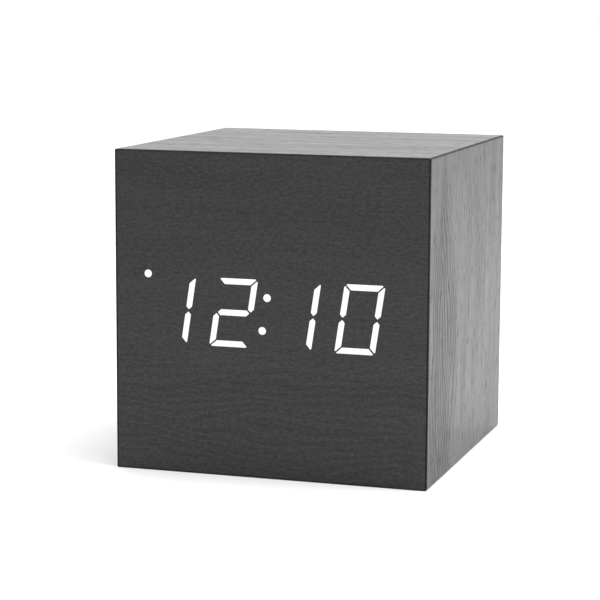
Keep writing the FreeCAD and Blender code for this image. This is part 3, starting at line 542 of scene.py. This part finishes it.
def make_windows():
    """The spots of the film that the lit segments shine through."""
    windows = tidy_copy("lit_segments", "lit_windows")
    segment_front_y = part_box("lit_segments")[0].y
    edit(windows)
    choose_faces(windows, lambda at, normal: not (normal.y < -0.9 and near(at.y, segment_front_y)))
    bpy.ops.mesh.delete(type="FACE")
    bpy.ops.mesh.select_all(action="SELECT")
    bpy.ops.transform.translate(value=(0, film_back_y - segment_front_y, 0))
    bpy.ops.mesh.extrude_region_move(TRANSFORM_OT_translate={"value": (0, -film, 0)})
    bpy.ops.mesh.select_all(action="SELECT")
    bpy.ops.mesh.normals_make_consistent(inside=False)
    corners = choose_edges(windows,
                           lambda at, way, angle: abs(way.y) > 0.9 and angle > segment_corner)
    bpy.ops.mesh.bevel(offset=corner_spread, segments=3, profile=0.5)
    done()
    print("lit windows: corners rounded", corners)
    return windows


def grown_copy(piece, name):
    """A copy that stands past the film on both faces, to cut with."""
    cutter = bpy.data.objects.new(name, piece.data.copy())
    bpy.context.scene.collection.objects.link(cutter)
    edit(cutter)
    for sign, face_y in ((-1, front_y), (1, film_back_y)):
        choose_faces(cutter, lambda at, normal: near(at.y, face_y) and abs(normal.y) > 0.9)
        bpy.ops.transform.translate(value=(0, sign * film, 0))
    done()
    return cutter


def make_front_film(windows):
    """The front sheet, with its edges eased, its pressed line, and an opening for each window."""
    sheet = box_piece((-side, front_y, 0), (side, film_back_y, top_z))
    edit(sheet)
    choose_edges(sheet, lambda at, way, angle: abs(way.y) > 0.9)
    bpy.ops.mesh.bevel(offset=fold_radius, segments=5, profile=0.5)
    choose_edges(sheet, lambda at, way, angle: near(at.y, front_y) and abs(way.y) < 0.5)
    bpy.ops.mesh.bevel(offset=edge_ease, segments=2, profile=0.5)
    choose_faces(sheet, lambda at, normal: normal.y < -0.99)
    bpy.ops.mesh.inset(thickness=score_inset)
    bpy.ops.mesh.inset(thickness=score_flank, depth=-score_depth)
    bpy.ops.mesh.inset(thickness=score_width)
    bpy.ops.mesh.inset(thickness=score_flank, depth=score_depth)
    done()
    cutter = grown_copy(windows, "window_cutter")
    add_modifier(sheet, "BOOLEAN", operation="DIFFERENCE", solver="MANIFOLD", object=cutter)
    bpy.data.objects.remove(cutter)
    print("front sheet: faces after the cut", len(sheet.data.polygons))
    unroll(sheet, "grain", lambda point, normal: point.x / mm, lambda point, normal: point.z / mm)
    smooth(sheet)
    sheet.data.materials.clear()
    sheet.data.materials.append(front_finish)
    return settle(sheet, "front_sheet")


lit_windows = make_windows()
front_sheet = make_front_film(lit_windows)
lit_windows.data.materials.append(window_finish().material)
for piece, slot in ((lit_windows, "lit_resin"), (front_sheet, "wood_grain_film")):
    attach(piece, "clock")
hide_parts("front_film")

# %% [markdown]
# ## Moulded parts and metal parts
# The rest of the clock is plastic, metal, card and rubber. None of it is perfectly even: a mould is
# spark-eroded, which leaves a fine pebbled skin, plated metal shows the drawing marks of the strip
# it was cut from, and moulded parts are a little glossier where hands rub them. One function makes
# every moulded finish and another every metal one, so only colour, grain and gloss need to be given.

# %% Moulded and metal finishes
def moulded(name, colour, roughness, grain_per_mm=2.6, depth=0.030, spread=0.3):
    """Plastic or rubber with a pebbled skin. spread is how much its colour wanders."""
    plastic = Finish(name, ior=1.5)
    pebbles = plastic.noise(plastic.place((grain_per_mm,) * 3), detail=2, rough=0.55)
    handling = plastic.noise(plastic.place((0.12, 0.12, 0.12)), detail=3)
    wander = (handling - 0.5) * spread * 2 + (pebbles - 0.5) * spread + 0.5
    dark = tuple(c * 0.7 for c in colour)
    light = tuple(min(1.0, c * 1.3) for c in colour)
    plastic.set(base_color=plastic.blend(wander, dark, light))
    plastic.set(roughness=roughness + (pebbles - 0.5) * 0.3 - handling.above(0.5, 0.75) * 0.10)
    plastic.bump(pebbles, depth)
    return plastic


def metal(name, colour, roughness, lay=(0.4, 6.0, 6.0), depth=0.003, tarnish=0.2):
    """Plated strip or wire. lay stretches its drawing marks along one axis."""
    plate = Finish(name, metallic=1.0)
    marks = plate.noise(plate.place(lay), detail=3, rough=0.7)
    stains = plate.noise(plate.place((0.5, 0.5, 0.5)), detail=3)
    dull = tuple(c * 0.6 for c in colour)
    plate.set(base_color=plate.blend(stains.above(0.45, 0.75) * tarnish + (marks - 0.5) * 0.2,
                                     colour, dull))
    plate.set(roughness=roughness + (marks - 0.5) * 0.2 + stains.above(0.5, 0.7) * 0.12)
    plate.bump(marks, depth)
    return plate


finishes = {
    "black_plastic": moulded("spark_eroded_black", (0.016, 0.016, 0.0172), 0.44),
    "button_plastic": moulded("satin_black_caps", (0.034, 0.034, 0.036), 0.34, 8.0, 0.004, 0.15),
    "connector_plastic": moulded("natural_nylon", (0.72, 0.70, 0.62), 0.38, 3.0, 0.006, 0.10),
    "black_rubber": moulded("soft_rubber", (0.020, 0.020, 0.020), 0.78, 9.0, 0.008, 0.30),
    "lead_sheath": moulded("lead_sheath", (0.055, 0.055, 0.058), 0.42, 4.0, 0.006, 0.20),
    "capacitor_sleeve": moulded("shrunk_sleeve", (0.022, 0.035, 0.09), 0.25, 2.0, 0.004, 0.15),
    "bead_resin": moulded("dipped_resin", (0.085, 0.055, 0.03), 0.22, 1.5, 0.020, 0.30),
    "clear_resin": moulded("milky_resin", (0.66, 0.67, 0.66), 0.28, 2.0, 0.004, 0.10),
    "zinc_steel": metal("bright_zinc", (0.60, 0.61, 0.63), 0.28, (5.0, 5.0, 5.0), 0.004),
    "black_steel": metal("black_zinc", (0.075, 0.075, 0.082), 0.34, (5.0, 5.0, 5.0), 0.004),
    "nickel_steel": metal("nickel_strip", (0.66, 0.64, 0.60), 0.24),
    "tinned_metal": metal("tinned_leg", (0.68, 0.68, 0.69), 0.32, (3.0, 3.0, 3.0), 0.006),
    "brass_disc": metal("rolled_brass", (0.74, 0.55, 0.22), 0.27, tarnish=0.35),
    "gold_contact": metal("gold_flash", (0.86, 0.65, 0.26), 0.20, (6.0, 0.5, 6.0)),
    "die_metal": metal("die_metal", (0.80, 0.66, 0.25), 0.30),
}
print("moulded and metal finishes:", len(finishes))

# %% [markdown]
# ## Fibre board, circuit board, foam and resin
# These four need a pattern of their own. Fibre board is pressed wood dust: a fine felt of pale and
# dark fibres, denser near its faces, with the rims that show at the back inked black. A circuit board
# has copper tracks under its green mask, so they show as a slightly raised, lighter net. Foam is cut
# through its cells, and the display's resin is lit from behind.

# %% Patterned finishes
ink_depth = 4.0         # how far the ink on the rear rims reaches in, and how softly it ends
ink_fade = 0.4


def fibre_finish():
    """Pressed wood fibre, inked black towards the rear."""
    wood = Finish("pressed_fibre", ior=1.45)
    felt = wood.noise(wood.place((2.0, 5.0, 5.0)), detail=4, rough=0.7)
    flakes = wood.noise(wood.place((0.9, 2.2, 0.9)), detail=2)
    pale = wood.blend(felt, (0.20, 0.125, 0.07), (0.46, 0.33, 0.20))
    bare = wood.blend(flakes.above(0.6, 0.75) * 0.4, pale, (0.12, 0.075, 0.04))
    inked = wood.blend(felt.above(0.35, 0.75), (0.008, 0.008, 0.0085), (0.042, 0.039, 0.036))
    depth = wood.axes(wood.place((1, 1, 1)))[1]
    rim = depth.above(rear_y / mm - ink_depth - ink_fade, rear_y / mm - ink_depth)
    wood.set(base_color=wood.blend(rim, bare, inked), roughness=0.86 - rim * 0.14 - felt * 0.1)
    wood.bump(felt * 0.7 + flakes * 0.3, 0.09)
    return wood


def circuit_finish():
    """Green solder mask over a net of tracks."""
    card = Finish("green_mask", ior=1.52)
    net = card.node("TexBrick", {"offset": 0.5, "squash": 1.0},
                    {"Vector": card.place((1, 1, 1)), "Color1": (0, 0, 0), "Color2": (0.35,) * 3,
                     "Mortar": (1, 1, 1), "Scale": 0.4, "Mortar Size": 0.04, "Bias": 0.0,
                     "Brick Width": 0.9, "Row Height": 0.35}, output=1)
    weave = card.noise(card.place((3.0, 3.0, 3.0)), detail=2)
    mask = card.blend(weave, (0.010, 0.075, 0.030), (0.022, 0.125, 0.052))
    card.set(base_color=card.blend(net * 0.6, mask, (0.05, 0.24, 0.10)),
             roughness=0.24 + weave * 0.14)
    card.bump(net * 0.8 + weave * 0.2, 0.03)
    return card


def foam_finish():
    """Black foam, cut through its cells, with painted shade making each cell's hollow middle darker."""
    foam = Finish("cut_foam", roughness=0.95, ior=1.4)
    cells = foam.node("TexVoronoi", {"feature": "F1"}, {"Vector": foam.place((3.2, 3.2, 3.2)),
                                                        "Scale": 1.0})
    # Painted shade: each cut cell's hollow middle, where the bump sinks the surface, is painted darker
    # than the cell walls.
    foam.set(base_color=foam.blend(cells.above(0.1, 0.6), (0.004, 0.004, 0.004), (0.03, 0.03, 0.031)))
    foam.bump(cells, 0.12)
    return foam


def lit_resin_finish():
    """The milky resin of a segment with its light on."""
    resin = Finish("lit_resin", base_color=(0.85, 0.87, 0.9), roughness=0.35, emission_strength=1.6)
    swirl = resin.noise(resin.place((0.8, 0.8, 0.8)), detail=2)
    resin.set(emission_color=resin.blend(swirl, (0.86, 0.90, 1.0), (1.0, 1.0, 1.0)))
    resin.bump(swirl, 0.01)
    return resin


def printed_face_finish():
    """Grey plastic whose front face is printed black, so that only the segments stand out."""
    case = Finish("display_case", ior=1.5)
    pebbles = case.noise(case.place((4.0, 4.0, 4.0)), detail=2)
    grey = case.blend(pebbles, (0.40, 0.40, 0.39), (0.52, 0.52, 0.51))
    ink = case.blend(pebbles, (0.010, 0.010, 0.011), (0.024, 0.024, 0.025))
    depth = case.axes(case.place((1, 1, 1)))[1]
    face_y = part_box("display_reflector")[0].y / mm
    case.set(base_color=case.blend(depth.above(face_y + 0.05, face_y + 0.15), ink, grey),
             roughness=0.5 + (pebbles - 0.5) * 0.2)
    case.bump(pebbles, 0.01)
    return case


finishes.update({"fibre_board": fibre_finish(), "circuit_board": circuit_finish(),
                 "black_foam": foam_finish(), "lit_resin": lit_resin_finish(),
                 "reflector_plastic": printed_face_finish()})
print("finishes in all:", len(finishes))

# %% [markdown]
# ## The microphone
# The microphone is a small metal can behind its hole in the cover. Its open end is covered with a
# disc of black felt, and that is all that can be seen of it, so one material holds both: metal on
# the can, felt on its rear face.

# %% Microphone finish
def microphone_finish():
    """A bare metal can with black felt on its rear face."""
    can = Finish("felted_can")
    fluff = can.noise(can.place((7, 7, 7)), detail=3)
    depth = can.axes(can.place((1, 1, 1)))[1]
    face_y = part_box("microphone")[1].y / mm
    felt = depth.above(face_y - 0.10, face_y - 0.05)
    steel = can.blend(fluff, (0.55, 0.54, 0.52), (0.68, 0.67, 0.64))
    can.set(base_color=can.blend(felt, steel, (0.012, 0.012, 0.013)), metallic=1 - felt,
            roughness=0.25 + felt * 0.65)
    can.bump(fluff, 0.05)
    return can


felted_can = microphone_finish()

# %% [markdown]
# ## The moulded back
# The cover, the battery door and its latch keep the CAD shape, but no moulded edge is knife-sharp: a
# tool leaves a small radius, and it is that radius that catches the light. Each part is a merged copy
# of the CAD mesh. On the cover only the edges of its outer face are bevelled, because the inside is
# never seen. On the door and latch every edge is.

# %% Cover, door and latch
cover_out_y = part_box("rear_cover")[1].y
cover_edge_radius = 0.16 * mm
door_edge_radius = 0.08 * mm


def finish_piece(piece, body, slot, *replaced):
    """Gives a finished piece its material, its body and the CAD nodes it stands for."""
    piece.data.materials.clear()
    piece.data.materials.append(finishes[slot].material)
    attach(piece, body)
    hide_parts(*replaced)


def eased_copy(node, name, test, radius):
    """A merged copy of a CAD node, with its sharp edges rounded where test(middle, direction) holds."""
    piece = tidy_copy(node, name)
    edit(piece)
    eased = choose_edges(piece, lambda at, way, angle: angle > sharp and test(at, way))
    bpy.ops.mesh.bevel(offset=radius, segments=2, profile=0.5, clamp_overlap=True)
    done()
    smooth(piece)
    print(f"{name}: {eased} edges eased, {len(piece.data.polygons)} faces")
    return piece


def on_outer_face(at, way):
    return near(at.y, cover_out_y)


def anywhere(at, way):
    return True


back_cover = eased_copy("rear_cover", "back_cover", on_outer_face, cover_edge_radius)
finish_piece(back_cover, "clock", "black_plastic", "rear_cover")
tip_out_door = eased_copy("battery_door", "tip_out_door", anywhere, door_edge_radius)
finish_piece(tip_out_door, "battery_door", "black_plastic", "battery_door")
snap_latch = eased_copy("door_latch", "snap_latch", anywhere, door_edge_radius)
finish_piece(snap_latch, "door_latch", "black_plastic", "door_latch")

# %% [markdown]
# ## Buttons and their marks
# The three caps come from one mould and are told apart by their marks: a ring to set, and triangles
# for down and up. The caps are crowned and round-edged in the CAD model, so a merged copy with
# smooth shading is enough. The marks are printed thick enough to feel, so they are thin solids on
# the cap, made from a cylinder primitive with many sides for the ring and three for the triangles.

# %% Button caps
mark_ink = moulded("white_print", (0.62, 0.62, 0.60), 0.5, 10.0, 0.004, 0.2)
mark_radius = 0.85 * mm
mark_height = 0.07 * mm
mark_stroke = 0.32 * mark_radius
mark_edge_radius = 0.4 * mark_height
ring_sides = 28


def make_mark(name, cap, sides, turn):
    """A printed mark on a cap's top. A three-sided cylinder is a triangle."""
    low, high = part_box(cap)
    place = ((low.x + high.x) / 2, high.y + mark_height / 2, (low.z + high.z) / 2)
    bpy.ops.object.select_all(action="DESELECT")
    bpy.ops.mesh.primitive_cylinder_add(vertices=sides, radius=mark_radius, depth=mark_height,
                                        location=place, rotation=(math.pi / 2, turn, 0))
    mark = bpy.context.object
    settle(mark, name)
    edit(mark)
    if sides > 3:
        choose_faces(mark, lambda at, normal: abs(normal.y) > 0.9)
        bpy.ops.mesh.inset(thickness=mark_stroke, use_individual=True)
        bpy.ops.mesh.bridge_edge_loops()
    choose_edges(mark, lambda at, way, angle: angle > sharp and abs(way.y) < 0.5
                 and at.y > place[1])
    bpy.ops.mesh.bevel(offset=mark_edge_radius, segments=2, profile=0.5)
    done()
    smooth(mark)
    return mark


for word, sides, turn in (("set", ring_sides, 0.0), ("down", 3, math.pi), ("up", 3, 0.0)):
    cap = tidy_copy(f"{word}_button", f"{word}_cap")
    smooth(cap)
    finish_piece(cap, f"{word}_button", "button_plastic", f"{word}_button")
    mark = make_mark(f"{word}_mark", f"{word}_button", sides, turn)
    mark.data.materials.append(mark_ink.material)
    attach(mark, f"{word}_button")
    print(f"{cap.name}: {len(cap.data.polygons)} faces, {mark.name}: {len(mark.data.polygons)}")

# %% [markdown]
# ## Cells
# An AAA cell is a drawn steel can in a printed plastic jacket. The jacket shrinks over both rims, the
# button stands on a crimped top plate, and the flat end is slightly sunk. A cylinder primitive gets
# both ends by inset and extrude, and then the other two cells are copies with their own meshes,
# turned end for end where the battery bay needs it.

# %% One cell
cell_low, cell_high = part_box("aaa_cell_1")
cell_heart = (cell_low + cell_high) / 2
cell_radius = (cell_high.z - cell_low.z) / 2
cell_button_length = 0.9 * mm
cell_button_radius = 1.9 * mm
cell_shoulder_x = cell_low.x + cell_button_length
jacket_lip = 0.55 * mm
groove_depth, groove_width = 0.35 * mm, 0.7 * mm        # round the button's plate
groove_flank, plate_flank = 0.12 * mm, 0.25 * mm
sunk_depth, sunk_width, sunk_flank = 0.25 * mm, 1.3 * mm, 0.15 * mm     # round the flat end
flat_rise, flat_flank = 0.15 * mm, 0.2 * mm
cell_edge_radius = 0.12 * mm
cell_sides = 48
steep = math.radians(60)


def jacket_finish():
    """A printed jacket: dark grey, with a pale band and a thin line towards the button."""
    jacket = Finish("cell_jacket", ior=1.5, coat_weight=0.3)
    way = jacket.axes(jacket.place((1, 1, 1), "wound"))[0]
    grain = jacket.noise(jacket.place((0.6, 3.0, 1), "wound"), detail=2)
    scuffs = jacket.noise(jacket.place((0.15, 0.9, 1), "wound"), detail=4).above(0.62, 0.7)
    band = 1 - way.above(9.9, 10.1)
    line = way.above(11.0, 11.15) * (1 - way.above(11.6, 11.75))
    body = jacket.blend(grain, (0.045, 0.05, 0.055), (0.07, 0.075, 0.082))
    banded = jacket.blend(band.maths("MAXIMUM", line), body, (0.46, 0.48, 0.49))
    jacket.set(base_color=jacket.blend(scuffs * 0.25, banded, (0.25, 0.25, 0.25)),
               roughness=0.26 + grain * 0.12 + scuffs * 0.2)
    jacket.bump(grain, 0.006)
    return jacket


def shape_button_end(cell):
    """The jacket's lip, a groove, the top plate and the button, each inside the one before."""
    plate_width = (cell_radius - jacket_lip - groove_flank - groove_width - plate_flank
                   - cell_button_radius)
    choose_faces(cell, lambda at, normal: normal.x < -0.9 and near(at.y, cell_heart.y))
    bpy.ops.mesh.inset(thickness=groove_flank, depth=-groove_depth)
    bpy.ops.mesh.inset(thickness=groove_width)
    bpy.ops.mesh.inset(thickness=plate_flank, depth=groove_depth)
    bpy.ops.mesh.inset(thickness=plate_width)
    bpy.ops.mesh.extrude_region_move(
        TRANSFORM_OT_translate={"value": (-cell_button_length, 0, 0)})


def shape_flat_end(cell):
    """The slightly sunk ring and the flat contact in it."""
    choose_faces(cell, lambda at, normal: normal.x > 0.9 and near(at.y, cell_heart.y))
    bpy.ops.mesh.inset(thickness=sunk_flank, depth=-sunk_depth)
    bpy.ops.mesh.inset(thickness=sunk_width)
    bpy.ops.mesh.inset(thickness=flat_flank, depth=flat_rise)


def make_cell():
    """A cell whose button points left, in the place of the first one."""
    can = cell_high.x - cell_shoulder_x
    bpy.ops.object.select_all(action="DESELECT")
    bpy.ops.mesh.primitive_cylinder_add(vertices=cell_sides, radius=cell_radius, depth=can,
                                        location=(cell_high.x - can / 2, cell_heart.y, cell_heart.z),
                                        rotation=(0, math.pi / 2, 0))
    cell = settle(bpy.context.object, "cell")
    edit(cell)
    choose_faces(cell, lambda at, normal: abs(normal.x) > 0.9)
    bpy.ops.mesh.inset(thickness=jacket_lip)
    shape_button_end(cell)
    shape_flat_end(cell)
    rims = choose_edges(cell, lambda at, way, angle: angle > steep)
    bpy.ops.mesh.bevel(offset=cell_edge_radius, segments=3, profile=0.5)
    done()
    cell.data.uv_layers.remove(cell.data.uv_layers[0])      # the cylinder's own, so that one is left
    unroll(cell, "wound", lambda point, normal: (point.x - cell_shoulder_x) / mm, way_round_cell)
    print("cell: rims rounded", rims)
    return cell


def way_round_cell(point, normal):
    """Millimetres round the cell's side."""
    return math.atan2(point.z - cell_heart.z, point.y - cell_heart.y) * cell_radius / mm


def paint_cell(cell, jacket):
    """Jacket on the outside and its lips, bare steel on the ends."""
    cell.data.materials.clear()
    cell.data.materials.append(jacket.material)
    cell.data.materials.append(finishes["nickel_steel"].material)
    for face in cell.data.polygons:
        out = math.hypot(face.center.y - cell_heart.y, face.center.z - cell_heart.z)
        face.material_index = 0 if out > cell_radius - jacket_lip else 1


def copy_cell(cell, row):
    """A copy in another row. A cell that faces the other way is turned round the vertical."""
    twin = cell.copy()
    twin.data = cell.data.copy()
    bpy.context.scene.collection.objects.link(twin)
    low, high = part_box(f"aaa_cell_{row}")
    about = Matrix.Rotation(0 if near(low.x, cell_low.x) else math.pi, 4, "Z")
    twin.matrix_world = (Matrix.Translation((low + high) / 2) @ about
                         @ Matrix.Translation(-cell_heart))
    return settle(twin, f"cell_{row}")


first_cell = make_cell()
paint_cell(first_cell, jacket_finish())
smooth(first_cell)
cells = [first_cell] + [copy_cell(first_cell, row) for row in (2, 3)]
settle(first_cell, "cell_1")
for row, cell in enumerate(cells, 1):
    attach(cell, "clock")
    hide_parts(f"aaa_cell_{row}")
print("cells:", [cell.name for cell in cells])

# %% [markdown]
# ## Screws and the socket
# Four small screws hold the cover, and the power socket sits in a slot beside the buttons. Screw
# heads are round and shiny, so they need smooth shading and a rounded rim to look like metal. They
# are merged copies of the CAD screws. The socket's shell is folded sheet, so its mouth is eased too.

# %% Screws and socket
seen_depth = 1.2 * mm
screw_edge_radius = 0.04 * mm
socket_edge_radius = 0.05 * mm


def near_outside(at, way):
    """Less deep than can be seen from outside the cover."""
    return at.y > cover_out_y - seen_depth


screws = eased_copy("cover_screws", "back_screws", near_outside, screw_edge_radius)
finish_piece(screws, "clock", "black_steel", "cover_screws")
shell = eased_copy("socket_shell", "socket_mouth", near_outside, socket_edge_radius)
finish_piece(shell, "clock", "nickel_steel", "socket_shell")

# %% [markdown]
# ## Finishes for the CAD parts
# Everything that no piece has replaced keeps its CAD mesh, because its shape is already right, and
# takes the finish of its own material slot. Only the microphone's differs, as said above.

# %% Carried-over parts
slot_of = {part["node"]: part["material_slot"] for part in frame["record"]["subparts"]}
carried = sorted(name for name, node in nodes.items() if not node.hide_render)
for name in carried:
    finish = felted_can if name == "microphone" else finishes[slot_of[name]]
    for slot in nodes[name].material_slots:
        slot.material = finish.material
print("CAD parts with a finish of their own:", len(carried))
